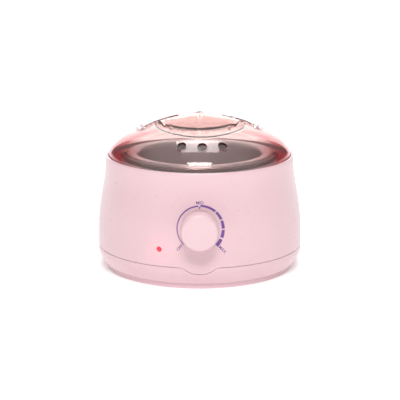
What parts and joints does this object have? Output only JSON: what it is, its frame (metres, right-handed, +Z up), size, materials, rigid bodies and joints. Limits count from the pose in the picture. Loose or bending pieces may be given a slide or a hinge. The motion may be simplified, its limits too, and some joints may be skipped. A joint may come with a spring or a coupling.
{
  "type": "wax warmer pot",
  "caption": "Round heated wax warmer with a lift-out rolled-rim pot and wire bail, a clear domed lid with a pinch grip, and a front temperature dial.",
  "frame": {"origin": "on the housing's vertical axis, in the plane of the foot band that it rests on", "axes": "+Z up along the housing's axis, -Y out of the front through the dial, +Y out of the cord entry at the back"},
  "size_m": [0.18, 0.1935, 0.1379],
  "materials": {
    "shell_pink": "moulded pale pink, satin gloss",
    "knob_pink": "moulded pale pink, satin gloss",
    "lid_clear": "clear rose tint, polished",
    "pot_aluminium": "spun, bright",
    "bowl_aluminium": "pressed, satin",
    "bail_steel": "drawn wire, nickel plated",
    "steel": "zinc plated",
    "brass": "machined",
    "ceramic": "unglazed steatite",
    "mica": "mica sheet band",
    "fibre": "glass fibre blanket",
    "black_rubber": "moulded, matt",
    "black_plastic": "moulded nylon",
    "white_plastic": "moulded nylon",
    "terminal_plastic": "vinyl sleeve",
    "lens_red": "clear red",
    "lamp_glass": "neon lamp bulb",
    "wire_brown": "silicone sleeve",
    "wire_blue": "silicone sleeve",
    "wire_white": "glass fibre sleeve",
    "wire_black": "silicone sleeve"
  },
  "bodies": {
    "housing": {"upper_housing": "shell_pink", "base_housing": "shell_pink", "base_screws": "steel", "rubber_feet": "black_rubber", "heater_bowl": "bowl_aluminium", "heater_band": "mica", "insulation_wrap": "fibre", "bowl_strap": "steel", "strap_screws": "steel", "bowl_nut": "steel", "thermostat_bracket": "steel", "bracket_screws": "steel", "thermostat_bushing": "brass", "ceramic_stack": "ceramic", "contact_leaves": "brass", "bimetal_strip": "steel", "stack_rivet": "steel", "crimp_terminals": "terminal_plastic", "indicator_lens": "lens_red", "indicator_lamp": "lamp_glass", "indicator_holder": "black_plastic", "cord_gland": "black_rubber", "gland_nut": "black_plastic", "cord_clamp": "white_plastic", "clamp_screws": "steel", "terminal_block": "white_plastic", "terminal_screws": "brass", "thermal_fuse": "steel", "fuse_clip": "steel", "live_wire": "wire_brown", "neutral_wire": "wire_blue", "link_wire": "wire_white", "lamp_wires": "wire_black"},
    "dial": {"knob": "knob_pink", "knob_clip": "steel", "thermostat_spindle": "steel", "spindle_ring": "steel"},
    "pot": {"wax_pot": "pot_aluminium", "pot_ears": "pot_aluminium"},
    "bail": {"pot_bail": "bail_steel"},
    "lid_body": {"lid": "lid_clear"}
  },
  "joints": [
    {"name": "knob_turn", "type": "hinge", "parent": "housing", "child": "dial", "pos_m": [0, -0.09, 0.0537], "axis": [0, 1, 0], "range_deg": [-135, 135]},
    {"name": "pot_lift", "type": "slide", "parent": "housing", "child": "pot", "axis": [0, 0, 1], "range_m": [0, 0.1]},
    {"name": "lid_lift", "type": "slide", "parent": "pot", "child": "lid_body", "axis": [0, 0, 1], "range_m": [0, 0.12]},
    {"name": "bail_swing", "type": "hinge", "parent": "pot", "child": "bail", "pos_m": [0, 0, 0.09965], "axis": [-1, 0, 0], "range_deg": [0, 90]}
  ],
  "couplings": [
    {"joint": "bail_swing", "follows": "lid_lift", "rad_per_m": 13.09}
  ]
}
